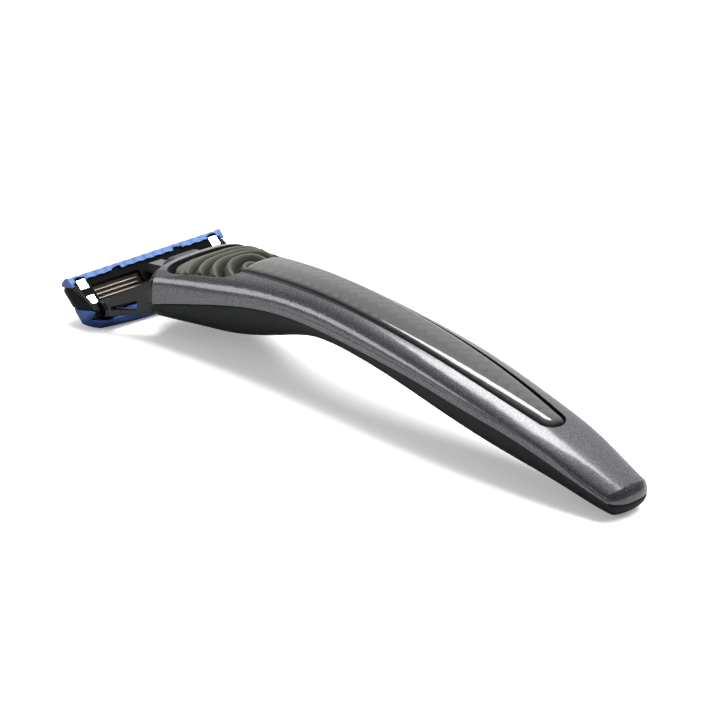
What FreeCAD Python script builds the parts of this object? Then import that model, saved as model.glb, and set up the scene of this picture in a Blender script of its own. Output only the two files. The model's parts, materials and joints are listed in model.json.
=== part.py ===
import FreeCAD, Part
import math
import os

# Cartridge razor, in millimetres. The razor lies on its back foot and on the front guard of its cartridge.
# +X runs from the cartridge to the butt, +Y is to the razor's side and +Z is up. Everything is drawn about
# a working origin under the guard, and moved at the end so that the origin is under the box's centre.

# ---- driving dimensions of the handle ----
# Each station is x, half width, height of the belly, of the parting seam and of the crown.
STATIONS = [
    (5.5, 13.6, 2.6, 5.8, 13.6),
    (10.0, 12.8, 2.7, 7.1, 14.6),
    (20.0, 11.0, 3.0, 9.7, 16.7),
    (30.0, 9.6, 4.2, 12.1, 18.6),
    (42.0, 8.5, 7.9, 14.0, 19.8),
    (54.0, 8.1, 10.8, 14.3, 20.0),
    (66.0, 8.2, 10.2, 13.8, 19.3),
    (80.0, 8.3, 7.6, 12.8, 17.7),
    (94.0, 8.0, 4.7, 10.9, 15.2),
    (106.0, 7.3, 2.4, 9.0, 12.4),
    (117.0, 6.4, 0.4, 6.2, 9.3),
    (130.0, 4.7, -0.6, 2.6, 4.9),
]
NOSE_X = 8.2             # front of the nose at the centre line
NOSE_CROWN = 2.1         # how far the nose's corners stand back from its front
BUTT_X = 128.7           # end of the butt
BUTT_ROUND = (6.8, 6.3)  # length and half width of the butt's round in plan
BUTT_POWER = 2.7         # squareness of that round
BUTT_HEEL = (2.8, 3.4)   # height and reach of the round under the butt's end
BUTT_TOP = (3.4, 6.2, 2.6)  # height where the round on top of the butt starts and ends, and its reach
LIP_HEIGHT = 1.2         # height of the plain lip along the shell's seam
LIP_LEDGE = 0.2          # ledge on top of the lip
LIP_START = (16.0, 44.0) # the ledge grows from nothing to its full width between these x
# Facet along the rim of the nose: x, then y and z of its outer and of its inner side.
RIM_FACET = [(4.0, 13.4, 11.3, 8.0, 14.5), (29.0, 9.6, 15.9, 7.5, 17.2)]
BELLY_TUCK = 0.3         # how far the rubber stands inside the painted shell
SEAM_GAP = 0.06          # half of the parting gap between shell and underside
SHELL_WALL = 2.1
RUBBER_WALL = 1.4
CHASSIS_WALL = 1.3
FIT = 0.12               # general assembly gap
SCREW_X = [38.0, 84.0, 106.0]
SCREW_SHANK = 0.75
SCREW_HEAD = (1.7, 1.1)  # radius and height of a shell screw's head
BOSS = 2.3               # radius of the screw bosses
WEIGHT_X = (44.0, 77.0)
WEIGHT_HALF = 4.6

# ---- inlay ----
INLAY_FRONT_X = 29.2     # front corners of the inlay
INLAY_BULGE = 1.2        # how far its front edge bulges towards the head
INLAY_HALF = [(29.2, 5.2), (42.0, 4.9), (60.0, 4.65), (80.0, 4.4), (96.0, 3.9), (107.5, 2.95)]
INLAY_TAIL = 2.7         # length of the round tail
INLAY_PROUD = 0.4        # how far the inlay stands out of the shell
SLOT_DEPTH = 1.15
PAD_THICK = 0.15         # bonding pad under the inlay

# ---- thumb button ----
OPENING = [(29.3, 5.1), (27.3, 7.2), (21.0, 8.7), (14.6, 10.1), (11.5, 9.7), (10.4, 7.4), (9.9, 3.2)]
OPENING_FRONT = 9.8
BUTTON_TRAVEL = 2.2
BUTTON_GAP = 0.35
BUTTON_SINK = 0.8        # the button's top lies this far under the shell's crown
BUTTON_THICK = 1.9
BUTTON_REAR = 27.4
SLIDER_THICK = 1.2
POST_X = 24.6            # the fork's two posts, which carry the button's slider
POST_Y = 4.4
POST_R = 0.8

# ---- slide axis of dock, plunger and release ----
AXIS_TILT = 8.0          # degrees that the axis falls towards the cartridge
AXIS_POINT = (8.3, 9.3)  # x and z of a point on the axis, in the nose's front
STUB_HALF = (5.4, 3.0)   # half width and half height of the dock's stub
STUB_REACH = 3.6         # how far the stub stands out in front of the axis point
PRONG_Y = (5.9, 7.0)     # inner and outer side of the ejector's prongs
PRONG_HALF = 1.1
PLUNGER_HALF = (1.6, 1.0)
PLUNGER_REST = -13.55    # the plunger's tip on the slide axis
PLUNGER_END = 7.2        # the shoulder that the plunger's spring pushes on
SLIDE_FIT = 0.08
DOCK_PLATE = (0.35, 1.8)  # front and back of the dock's plate behind the nose's front
DOCK_FOOT = (5.9, 7.0)   # bottom and top of the dock's foot
DOCK_SCREW_X = 16.5
GUIDE_WALL = 1.0
GUIDE_END = 11.6         # inner side of the dock's rear wall
FORK_BAR = (16.2, 17.6)  # front and back of the ejector fork's cross bar
SPRING_WIRE = 0.2        # radius of both springs' wire
SPRING_TURNS = 3

# ---- yoke ----
COLLAR = (-1.45, -0.15)  # front and back of the collar, as distances behind the nose's front
ARM_SIDE = [(9.4, 12.0), (-0.3, 5.85), (-0.3, 2.5), (9.4, 4.8)]
ARM_HOLE = [(1.2, 4.75), (6.6, 7.0), (6.6, 5.3)]
ARM_PLAN = [(9.4, 11.9), (2.0, 16.9), (-0.9, 17.4), (-0.9, 15.4), (1.7, 15.4), (9.4, 9.2)]
ARM_BOSS_Y = (15.4, 17.4)  # inner and outer side of the arm's round end
JOURNAL_Y = 13.8         # inner end of the journals on the arms
SLEEVE_WALL = 1.0

# ---- cartridge ----
SHAVE_TILT = 41.0        # degrees that the shaving plane falls towards the handle
CAP_POINT = (-9.6, 6.4)  # x and z of the shaving plane's cap edge
CART_HALF = 20.2         # half of the cartridge's width
CHEEK_IN = 17.6          # inner side of the end cheeks
PIVOT_UV = (8.6, 4.3)    # pivot axis, measured along and behind the shaving plane
JOURNAL_R = 0.9
JOURNAL_FIT = 0.05
BOSS_R = 1.9             # radius of the arms' round ends
LUG_R = 1.65             # the housing's snap bearings for the journals
LUG_Y = (13.7, 15.3)
LUG_FOOT = (6.95, 8.8, 2.5)  # front and back of a bearing's foot, and its bottom
LUG_MOUTH = 0.7          # half width of the mouth through which a journal snaps in
FRAME = (-0.1, 8.8, 0.35, 3.0)  # front, end, face and back of the housing's frame
POCKET = (1.8, 6.75)     # the blades' pocket along the shaving plane
CHEEK_INNER = [(-0.1, 0.35), (-0.1, 2.3), (1.2, 3.0), (7.0, 4.6), (8.9, 4.9), (9.9, 4.2), (9.3, 2.4),
               (5.2, 0.35)]
CHEEK_OUTER = [(-0.1, 0.35), (1.85, 2.95), (8.6, 4.95), (4.7, 0.35)]
CHEEK_STEP = 19.25       # the cheek's outer part starts here
CHEEK_TAPER = [(17.0, -1.0), (19.7, -1.0), (20.2, 0.8), (20.2, 1.5), (19.0, 5.7), (17.0, 5.7)]
CLIP_POCKET = (16.1, 18.45)
GUARD_SIDE = [(5.4, 0.1), (9.4, 0.1), (10.4, 0.6), (11.5, 1.48), (12.5, 2.4), (12.85, 3.2), (12.2, 3.7),
              (11.3, 4.4), (9.0, 2.6)]
GUARD_WRAP = [(4.9, 0.35), (9.4, 0.6), (11.3, 4.4), (9.6, 5.2), (8.8, 5.1)]
GUARD_HALF = 20.1
GUARD_BOW = 1.2          # how far the guard's middle bows out past its ends
COMB_SIDE = [(-0.8, 1.0), (-0.8, 2.8), (-0.35, 3.5), (0.85, 3.5), (0.85, 3.08), (-0.28, 3.08), (-0.28, 1.0)]
COMB_CAP = [(-0.8, 1.0), (-0.2, 0.45), (1.75, 3.05), (0.85, 3.5), (-0.35, 3.5), (-0.8, 2.8)]
COMB_Y = (19.0, 20.0)    # where the comb's end caps start and end
COMB_PITCH = 2.5
COMB_SCALLOP = (1.2, -1.66)  # radius of the scallops between the comb's teeth, and their centres' place
LATCH_Y = 8.0            # the comb's two latch notches
LATCH_HALF = 1.15
CAM_HALF = 3.2           # the bar that the plunger pushes on
WINDOW = (2.4, 6.7)      # opening behind the blades, along the shaving plane
WINDOW_HALF = 15.2
BLADE_COUNT = 5
BLADE_FIRST = 2.75
BLADE_PITCH = 0.95
BLADE_THICK = 0.1
SUPPORT_THICK = 0.15
BLADE_TILT = 25.0
BLADE_WIDTH = 1.05
SUPPORT_DROP = 1.9       # how deep a blade support's leg reaches behind the shaving plane
BLADE_HALF = 16.2        # half length of a blade
SUPPORT_HALF = 16.9
CLIP_Y = (16.2, 18.3)    # inner and outer side of a clip's strap
CLIP_THICK = 0.28
CLIP_LEGS = (0.8, 6.5)  # the two legs of a clip along the shaving plane
CLIP_TAB = 2.0           # how far the bent ends reach over the back

FAR = 60.0               # a length well past the model, for cutting tools
SECTION_POINTS = 8       # points on half of a cross-section's arch


def V(x, y, z):
    return FreeCAD.Vector(x, y, z)


def spline(points):
    curve = Part.BSplineCurve()
    curve.interpolate([V(*p) for p in points])
    return curve.toShape()


def line(a, b):
    return Part.makeLine(V(*a), V(*b))


def arc(a, b, c):
    return Part.Arc(V(*a), V(*b), V(*c)).toShape()


def box(x0, x1, y0, y1, z0, z1):
    return Part.makeBox(x1 - x0, y1 - y0, z1 - z0, V(x0, y0, z0))


def polygon_y(points, y0, y1):
    """A side profile of (x, z) points, extruded from y0 to y1."""
    loop = [V(x, y0, z) for x, z in points]
    face = Part.Face(Part.makePolygon(loop + loop[:1]))
    return face.extrude(V(0, y1 - y0, 0))


def prism_z(edges, z0=-10.0, z1=40.0):
    """A plan outline, drawn at z = 0, extruded from z0 to z1."""
    face = Part.Face(Part.Wire(Part.__sortEdges__(edges)))
    face.translate(V(0, 0, z0))
    return face.extrude(V(0, 0, z1 - z0))


def mirrored(shape):
    return shape.mirror(V(0, 0, 0), V(0, 1, 0))


def solid(shape):
    """The single solid in a boolean's result, or the largest when slivers came with it."""
    return max(shape.Solids, key=lambda s: s.Volume)


def group(shapes):
    return Part.makeCompound(shapes)


def squareness(x):
    """Power of the shell's cross-section: boxy at the nose and rounder along the handle."""
    return 2.15 + 1.7 * math.exp(-((x - 9.0) / 13.0) ** 2)


def under_squareness(x):
    """Power of the underside's cross-section, which turns round towards the butt."""
    return 2.7 - 0.95 * smooth_step(x, 85.0, 124.0)


def smooth_step(x, start, end):
    share = min(max((x - start) / (end - start), 0.0), 1.0)
    return share * share * (3 - 2 * share)


# ---- handle body ----

def arch(x, half, base, crown, power):
    """Half-ellipse-like arch in the plane of x, from one side over the crown to the other."""
    points = []
    for i in range(2 * SECTION_POINTS + 1):
        angle = math.pi * i / (2 * SECTION_POINTS)
        side = math.copysign(abs(math.cos(angle)) ** (2 / power), math.cos(angle))
        rise = math.sin(angle) ** (2 / power) if 0 < i < 2 * SECTION_POINTS else 0.0
        points.append((x, half * side, base + (crown - base) * rise))
    return spline(points)


def section(x, half, base, crown, power, skirt, ledge=0.0):
    """The arch closed by straight sides that run on past its base by the skirt.

    With a ledge the arch stands on a lip, and starts that far inside of it.
    """
    foot = base + skirt
    lip = base + (LIP_HEIGHT if ledge else 0.0)
    edges = [arch(x, half - ledge, lip, crown, power), line((x, half, foot), (x, -half, foot))]
    for side in (half, -half):
        edges.append(line((x, side, lip), (x, side, foot)))
        if ledge:
            edges.append(line((x, side, lip), (x, math.copysign(half - ledge, side), lip)))
    return Part.Wire(Part.__sortEdges__(edges))


def above_floor(shape):
    """The shape with anything under the floor cut off, which leaves its flat foot."""
    return shape.common(box(-FAR, 3 * FAR, -FAR, FAR, 0, FAR))


def upper_body(inset):
    """The painted shell's outer form, moved inwards by the inset, and run on below the seam."""
    wires = [section(x, w - inset, seam, crown - inset, squareness(x), -3.0)
             for x, w, belly, seam, crown in STATIONS]
    return Part.makeLoft(wires, True, False, False, 3)


def painted_body():
    """The painted shell's outer form, with the lip along its seam and the facet round its nose."""
    wires = []
    for x, w, belly, seam, crown in STATIONS:
        ledge = 0.02 + LIP_LEDGE * smooth_step(x, LIP_START[0], LIP_START[1])
        wires.append(section(x, w, seam, crown, squareness(x), -3.0, ledge))
    body = Part.makeLoft(wires, True, False, False, 3)
    facet = rim_facet()
    return body.cut(facet).cut(mirrored(facet))


def rim_facet():
    """Everything above the nose's rim facet, on the +Y side."""
    wires = []
    for x, y0, z0, y1, z1 in RIM_FACET:
        slope = (z1 - z0) / (y1 - y0)
        out, inner = y0 + 5.0, 3.0
        loop = [V(x, out, z0 + slope * (out - y0)), V(x, inner, z0 + slope * (inner - y0)),
                V(x, inner, FAR), V(x, out, FAR)]
        wires.append(Part.makePolygon(loop + loop[:1]))
    return Part.makeLoft(wires, True, True)


def lower_body(inset):
    """The underside's outer form, moved inwards by the inset, and run on above the seam."""
    wires = [section(x, w - BELLY_TUCK - inset, seam, belly + inset, under_squareness(x), 1.5)
             for x, w, belly, seam, crown in STATIONS]
    return Part.makeLoft(wires, True, False, False, 3)


def seam_prism(above, shift):
    """Everything above or below the seam line, which is moved up by the shift."""
    points = [(s[0], -FAR / 2, s[3] + shift) for s in STATIONS]
    points = [(-5.0, -FAR / 2, points[0][2] - 2.0)] + points + [(140.0, -FAR / 2, 0.0)]
    edge = spline(points)
    z = FAR if above else -FAR
    start, end = points[0], points[-1]
    corners = [start, (start[0], start[1], z), (end[0], end[1], z), end]
    rest = [line(corners[i], corners[i + 1]) for i in range(3)]
    face = Part.Face(Part.Wire(Part.__sortEdges__([edge] + rest)))
    return face.extrude(V(0, FAR, 0))


def plan_edges(front_inset, inset):
    """Plan of the handle's two ends: the crowned nose and the rounded butt."""
    side = 16.0
    front = NOSE_X + front_inset
    corner = front + NOSE_CROWN * (side / 12.5) ** 2
    centre = BUTT_X - BUTT_ROUND[0]
    length = BUTT_ROUND[0] - inset
    half = BUTT_ROUND[1] - inset
    butt = []
    for i in range(17):
        angle = math.pi * (i / 16 - 0.5)
        reach = max(math.cos(angle), 0.0) ** (2 / BUTT_POWER)
        across = math.copysign(abs(math.sin(angle)) ** (2 / BUTT_POWER), angle)
        butt.append((centre + length * reach, half * across, 0))
    edges = [arc((corner, -side, 0), (front, 0, 0), (corner, side, 0)), spline(butt)]
    for s in (-1, 1):
        edges.append(line((corner, s * side, 0), (centre, s * side, 0)))
        edges.append(line((centre, s * side, 0), (centre, s * half, 0)))
    return edges


def plan_limit(front_inset, inset):
    return prism_z(plan_edges(front_inset, inset))


def plan_round(inset, z0, z1, reach):
    """The plan as a block whose butt end draws in from z0 to z1, by a quarter round of the reach."""
    wires = []
    for i in range(5):
        angle = math.pi * i / 8
        wire = Part.Wire(Part.__sortEdges__(plan_edges(-4.0, inset + reach * (1 - math.cos(angle)))))
        wire.translate(V(0, 0, z0 + (z1 - z0) * math.sin(angle)))
        wires.append(wire)
    return Part.makeLoft(wires, True, False, False, 3)


def round_butt(body, inset):
    """The body with the end of its butt rounded towards its top and bottom."""
    heel, heel_reach = BUTT_HEEL
    start, end, top_reach = BUTT_TOP
    limit = plan_round(inset, heel, inset * 0.9, heel_reach)
    limit = limit.fuse(prism_z(plan_edges(-4.0, inset), heel, start))
    limit = limit.fuse(plan_round(inset, start, end - inset, top_reach))
    limit = limit.fuse(prism_z(plan_edges(-4.0, inset + top_reach), end - inset, FAR))
    return body.common(limit)


def inlay_outline(inset):
    """Plan of the inlay: a bulging front edge, gently curved sides and a round tail."""
    x0, y0 = INLAY_HALF[0]
    x1, y1 = INLAY_HALF[-1]
    sides = [(x, y - inset, 0) for x, y in INLAY_HALF]
    sides[0] = (x0 + inset, y0 - inset, 0)
    right = [(x, -y, z) for x, y, z in sides]
    front = arc(right[0], (x0 - INLAY_BULGE + inset, 0, 0), sides[0])
    tail = [sides[-1], (x1 + INLAY_TAIL * 0.72 - inset * 0.7, (y1 - inset) * 0.7, 0),
            (x1 + INLAY_TAIL - inset, 0, 0)]
    tail += [(x, -y, z) for x, y, z in reversed(tail[:2])]
    return [front, spline(sides), spline(right), spline(tail)]


def opening_outline(inset, front, rear, bulge):
    """Plan of the button's opening, or of the button itself, as a shield that is round at the front."""
    shift = front - OPENING_FRONT
    length = OPENING[0][0] - OPENING_FRONT
    side = []
    for x, y in OPENING:
        along = (x - OPENING_FRONT) / length
        side.append((front + along * (rear - OPENING_FRONT - shift), y - inset, 0))
    other = [(x, -y, z) for x, y, z in reversed(side)]
    loop = spline(side + [(front, 0, 0)] + other)
    return [loop, arc(side[0], (rear - bulge, 0, 0), other[-1])]


def on_axis(shape):
    """From the slide axis's own frame, x' back along the axis and z' up, into the razor's frame."""
    shape.rotate(V(0, 0, 0), V(0, 1, 0), -AXIS_TILT)
    shape.translate(V(AXIS_POINT[0], 0, AXIS_POINT[1]))
    return shape


def on_cartridge(shape):
    """From the cartridge's frame, x' down the shaving plane and z' behind it, into the razor's frame."""
    shape.rotate(V(0, 0, 0), V(0, 1, 0), SHAVE_TILT)
    shape.translate(V(CAP_POINT[0], 0, CAP_POINT[1]))
    return shape


def dropped(shape, drop):
    copy = shape.copy()
    copy.translate(V(0, 0, -drop))
    return copy


# ---- handle pieces ----

def pillar(x, y, radius, z0, z1):
    return Part.makeCylinder(radius, z1 - z0, V(x, y, z0))


def level(x, column):
    """Height of a station curve at x, along straight lines between stations."""
    for a, b in zip(STATIONS, STATIONS[1:]):
        if a[0] <= x <= b[0]:
            return a[column] + (b[column] - a[column]) * (x - a[0]) / (b[0] - a[0])
    raise ValueError("x is off the handle")


def screw_floor(x):
    """Height of a shell screw's head, just above the rubber."""
    return level(x, 2) + RUBBER_WALL + 0.6


def make_upper_shell(outer):
    above = seam_prism(True, SEAM_GAP)
    shell = round_butt(outer, 0.0).common(above)
    cavity = round_butt(upper_body(SHELL_WALL).common(plan_limit(-4.0, SHELL_WALL)), SHELL_WALL)
    slot = prism_z(inlay_outline(-FIT)).cut(upper_body(SLOT_DEPTH))
    opening = prism_z(opening_outline(0.0, OPENING_FRONT, OPENING[0][0], 0.2))
    shell = shell.cut(cavity).cut(slot).cut(opening)
    for x in SCREW_X:
        boss = pillar(x, 0, BOSS, level(x, 3) + 0.8, FAR).common(upper_body(SLOT_DEPTH + 0.3))
        shell = shell.fuse(boss)
        shell = shell.cut(pillar(x, 0, SCREW_SHANK + 0.05, 0, level(x, 4) - 2.4))
    return solid(shell)


def make_rubber_grip(limit):
    below = seam_prism(False, -SEAM_GAP)
    inner = lower_body(RUBBER_WALL).common(plan_limit(-4.0, RUBBER_WALL))
    grip = round_butt(lower_body(0.0).common(limit), 0.0)
    return solid(above_floor(grip.common(below).cut(inner)))


def make_lower_shell():
    below = seam_prism(False, -SEAM_GAP)
    inset = RUBBER_WALL + 0.05
    outer = round_butt(lower_body(inset).common(plan_limit(0.1, inset)), inset).common(below)
    inner = lower_body(inset + CHASSIS_WALL).common(plan_limit(-4.0, inset + CHASSIS_WALL))
    shell = outer.cut(inner)
    for x in SCREW_X:
        floor = screw_floor(x)
        boss = pillar(x, 0, BOSS, 0, level(x, 3) + 0.3).common(lower_body(inset))
        shell = shell.fuse(boss)
        shell = shell.cut(pillar(x, 0, SCREW_SHANK + 0.2, 0, FAR))
        shell = shell.cut(pillar(x, 0, SCREW_HEAD[0] + 0.15, 0, floor + SCREW_HEAD[1] + 0.1))
    shell = shell.cut(pillar(DOCK_SCREW_X, 0, SCREW_SHANK + 0.05, 0, DOCK_FOOT[1]))
    return solid(shell)


def make_screws():
    screws = []
    for x in SCREW_X:
        floor = screw_floor(x)
        head = pillar(x, 0, SCREW_HEAD[0], floor, floor + SCREW_HEAD[1])
        shank = pillar(x, 0, SCREW_SHANK, floor, level(x, 4) - 3.0)
        slot = box(x - FAR, x + FAR, -0.25, 0.25, floor, floor + 0.5)
        screws.append(solid(head.fuse(shank).cut(slot)))
    return group(screws)


def make_inlay():
    plate = prism_z(inlay_outline(0.0)).common(upper_body(-INLAY_PROUD))
    return solid(plate.cut(upper_body(SLOT_DEPTH - PAD_THICK - 0.05)))


def make_inlay_pad():
    sheet = prism_z(inlay_outline(0.8)).common(upper_body(SLOT_DEPTH - PAD_THICK))
    sheet = sheet.cut(upper_body(SLOT_DEPTH - 0.02))
    return solid(sheet.common(box(30.5, FAR * 2, -FAR, FAR, 0, FAR)))


def make_weight():
    top = upper_body(SHELL_WALL + 0.3)
    bottom = lower_body(RUBBER_WALL + CHASSIS_WALL + 0.4)
    bar = box(WEIGHT_X[0], WEIGHT_X[1], -WEIGHT_HALF, WEIGHT_HALF, 0, FAR)
    upper = bar.common(top).common(seam_prism(True, 0.0))
    lower = bar.common(bottom).common(seam_prism(False, 0.3))
    return solid(upper.fuse(lower))


# ---- dock, plunger and release, in the slide axis's frame unless said ----

def stadium(half_y, half_z, x0, x1):
    """An oval bar along the slide axis."""
    core = half_y - half_z
    bar = box(x0, x1, -core, core, -half_z, half_z)
    for s in (-1, 1):
        rod = Part.makeCylinder(half_z, x1 - x0, V(x0, s * core, 0), V(1, 0, 0))
        bar = bar.fuse(rod)
    return bar.removeSplitter()


def coil(radius, x0, x1):
    """A compression spring along the slide axis, between x0 and x1."""
    length = x1 - x0 - 2 * SPRING_WIRE
    helix = Part.makeHelix(length / SPRING_TURNS, length, radius)
    ring = Part.Wire(Part.makeCircle(SPRING_WIRE, V(radius, 0, 0), V(0, 1, 0)))
    spring = Part.Wire(helix).makePipeShell([ring], True, True)
    spring.rotate(V(0, 0, 0), V(0, 1, 0), 90)
    spring.translate(V(x0 + SPRING_WIRE, 0, 0))
    return spring


def nose_block(front, back, upper_inset, lower_inset):
    """The nose's cross-section between two crowned planes, which are distances behind its front."""
    band = plan_limit(front, 0.0).cut(plan_limit(back, 0.0))
    band = band.common(box(0, 20, -FAR, FAR, 0, FAR))
    upper = upper_body(upper_inset).common(seam_prism(True, 0.1))
    lower = lower_body(lower_inset).common(seam_prism(False, 0.2))
    return solid(band.common(upper.fuse(lower)))


def make_dock():
    inset = RUBBER_WALL + CHASSIS_WALL + 0.15
    plate = nose_block(DOCK_PLATE[0], DOCK_PLATE[1], SHELL_WALL + FIT, inset)
    stub = stadium(STUB_HALF[0], STUB_HALF[1], -STUB_REACH, 2.5)
    half_y = PLUNGER_HALF[0] + SLIDE_FIT
    half_z = PLUNGER_HALF[1] + SLIDE_FIT
    rear = GUIDE_END + GUIDE_WALL
    for s in (-1, 1):
        low, high = sorted((s * half_y, s * (half_y + GUIDE_WALL)))
        stub = stub.fuse(box(2.0, rear, low, high, -half_z, half_z))
    side = half_y + GUIDE_WALL
    stub = stub.fuse(box(GUIDE_END, rear, -side, side, -1.6, 1.6))
    dock = plate.fuse(on_axis(stub))
    foot = box(9.5, 19.0, -3.5, 3.5, DOCK_FOOT[0], DOCK_FOOT[1])
    dock = dock.fuse(foot.common(lower_body(inset)))
    channel = on_axis(box(-8.0, 5.0, -half_y, half_y, -half_z, half_z))
    dock = dock.cut(channel).cut(pillar(DOCK_SCREW_X, 0, SCREW_SHANK + 0.15, 0, 8))
    dock = dock.common(dropped(upper_body(0.0), BUTTON_SINK + BUTTON_THICK + 1.0))
    for s in (-1, 1):
        low, high = sorted((s * (PRONG_Y[0] - 0.15), s * (PRONG_Y[1] + 0.15)))
        reach = PRONG_HALF + 0.15
        dock = dock.cut(on_axis(box(-3.0, 6.0, low, high, -reach, reach)))
    return solid(dock)


def make_dock_screw():
    floor = level(DOCK_SCREW_X, 2) + RUBBER_WALL + 0.2
    shank = pillar(DOCK_SCREW_X, 0, SCREW_SHANK, floor, DOCK_FOOT[1])
    head = pillar(DOCK_SCREW_X, 0, 1.5, DOCK_FOOT[1] + 0.02, DOCK_FOOT[1] + 0.9)
    neck = pillar(DOCK_SCREW_X, 0, SCREW_SHANK, DOCK_FOOT[1], DOCK_FOOT[1] + 0.5)
    return solid(shank.fuse(neck).fuse(head))


def make_plunger():
    half_y, half_z = PLUNGER_HALF
    tip = Part.makeCylinder(half_z, 2 * half_y, V(PLUNGER_REST + half_z, -half_y, 0), V(0, 1, 0))
    tongue = box(PLUNGER_REST + half_z, PLUNGER_END, -half_y, half_y, -half_z, half_z)
    stem = Part.makeCylinder(0.55, 1.1, V(PLUNGER_END, 0, 0), V(1, 0, 0))
    return on_axis(solid(tongue.fuse(tip).fuse(stem)))


def make_plunger_spring():
    return on_axis(coil(0.84, PLUNGER_END + 0.03, GUIDE_END - 0.03))


def make_button():
    body = upper_body(0.0)
    plan = prism_z(opening_outline(BUTTON_GAP, OPENING_FRONT + BUTTON_TRAVEL + 0.4, BUTTON_REAR, 1.0), 5)
    pad = plan.common(dropped(body, BUTTON_SINK))
    return solid(pad.cut(dropped(body, BUTTON_SINK + BUTTON_THICK)))


def make_slider():
    body = upper_body(0.0)
    top = BUTTON_SINK + BUTTON_THICK + 0.03
    plan = prism_z(opening_outline(2.2, OPENING_FRONT + BUTTON_TRAVEL + 2.6, BUTTON_REAR - 0.8, 1.0), 5)
    plate = plan.common(dropped(body, top)).cut(dropped(body, top + SLIDER_THICK))
    plate = plate.cut(box(0, 22.5, -3.9, 3.9, 0, FAR))
    for s in (-1, 1):
        plate = plate.cut(pillar(POST_X, s * POST_Y, POST_R + 0.1, 0, FAR))
    return solid(plate)


def make_fork():
    bar = box(FORK_BAR[0], FORK_BAR[1], -PRONG_Y[1], PRONG_Y[1], -PRONG_HALF, PRONG_HALF)
    for s in (-1, 1):
        low, high = sorted((s * PRONG_Y[0], s * PRONG_Y[1]))
        bar = bar.fuse(box(0.75, FORK_BAR[1], low, high, -PRONG_HALF, PRONG_HALF))
    fork = on_axis(bar)
    top = level(POST_X, 4) - BUTTON_SINK - BUTTON_THICK - 0.9
    for s in (-1, 1):
        fork = fork.fuse(pillar(POST_X, s * POST_Y, POST_R, 11.5, top))
    return solid(fork)


def make_button_spring():
    return on_axis(coil(1.2, GUIDE_END + GUIDE_WALL + 0.05, FORK_BAR[0] - 0.05))


# ---- yoke ----

def pivot_point():
    """World x and z of the cartridge's pivot axis."""
    tilt = math.radians(SHAVE_TILT)
    u, v = PIVOT_UV
    x = CAP_POINT[0] + u * math.cos(tilt) + v * math.sin(tilt)
    z = CAP_POINT[1] - u * math.sin(tilt) + v * math.cos(tilt)
    return x, z


def make_arm():
    """The arm on the +Y side, with its round end and its journal."""
    side = polygon_y(ARM_SIDE, 8, 19).cut(polygon_y(ARM_HOLE, 7, 20))
    corners = [(x, y, 0) for x, y in ARM_PLAN]
    plan = prism_z([line(corners[i], corners[i - 1]) for i in range(len(corners))])
    x, z = pivot_point()
    inner, outer = ARM_BOSS_Y
    boss = Part.makeCylinder(BOSS_R, outer - inner, V(x, inner, z), V(0, 1, 0))
    journal = Part.makeCylinder(JOURNAL_R, inner - JOURNAL_Y + 0.1, V(x, JOURNAL_Y, z), V(0, 1, 0))
    return side.common(plan).fuse(boss).fuse(journal)


def make_yoke():
    facet = dropped(rim_facet(), 0.5)
    collar = nose_block(COLLAR[0], COLLAR[1], 0.5, 0.4).cut(facet).cut(mirrored(facet))
    half_y, half_z = STUB_HALF
    grow = SLIDE_FIT + SLEEVE_WALL
    sleeve = on_axis(stadium(half_y + grow, half_z + grow, -STUB_REACH, 0.2))
    sleeve = sleeve.cut(plan_limit(COLLAR[1], 0.0))
    arm = make_arm().cut(plan_limit(COLLAR[1], 0.0))
    yoke = collar.fuse(sleeve).fuse(arm).fuse(mirrored(arm))
    hole = on_axis(stadium(half_y + SLIDE_FIT, half_z + SLIDE_FIT, -FAR, FAR))
    return solid(yoke.cut(hole))


# ---- cartridge, in its own frame: x' down the shaving plane, y across and z' behind it ----

def side_prism(points, y0, y1, grow=0.0):
    """A cross-section of the cartridge between y0 and y1, with its outline moved out by the growth."""
    loop = [V(u, y0, v) for u, v in points]
    wire = Part.makePolygon(loop + loop[:1])
    if grow:
        wire = wire.makeOffset2D(grow, 2)
    return Part.Face(wire).extrude(V(0, y1 - y0, 0))


def both_sides(shape):
    return shape.fuse(mirrored(shape))


def cheek_block(grow=0.0):
    """The end cheek on the +Y side before its faces taper, moved out by the growth."""
    inner = side_prism(CHEEK_INNER, CHEEK_IN - 0.3 - grow, CHEEK_STEP + grow, grow)
    outer = side_prism(CHEEK_OUTER, CHEEK_STEP - 0.5, CART_HALF + 1.0, grow)
    return inner.fuse(outer)


def make_cheek():
    """The end cheek on the +Y side, tapering towards its back."""
    cheek = cheek_block()
    loop = [V(-5, y, v) for y, v in CHEEK_TAPER]
    taper = Part.Face(Part.makePolygon(loop + loop[:1])).extrude(V(FAR, 0, 0))
    corner = [(-0.1, 0, 0), (-0.1, 19.4, 0), (0.9, CART_HALF, 0), (11.5, CART_HALF, 0), (11.5, 0, 0)]
    plan = prism_z([line(corner[i - 1], corner[i]) for i in range(len(corner))])
    cheek = cheek.cut(box(-1.0, CLIP_LEGS[1] + 0.3, 15.0, CLIP_POCKET[1], FRAME[3], 9.0))
    return cheek.common(taper).common(plan)


def pivot_rod(radius, y0, y1):
    """A rod along the pivot axis."""
    u, v = PIVOT_UV
    return Part.makeCylinder(radius, y1 - y0, V(u, y0, v), V(0, 1, 0))


def make_lug():
    """The snap bearing on the +Y side: a round lug on a foot, open at its back."""
    u, v = PIVOT_UV
    y0, y1 = LUG_Y
    foot = box(LUG_FOOT[0], LUG_FOOT[1], y0, y1, LUG_FOOT[2], v)
    mouth = box(u - LUG_MOUTH, u + LUG_MOUTH, y0, y1, v, v + 2 * LUG_R)
    return pivot_rod(LUG_R, y0, y1).fuse(foot).cut(pivot_rod(JOURNAL_R + JOURNAL_FIT, y0, y1)).cut(mouth)


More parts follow.
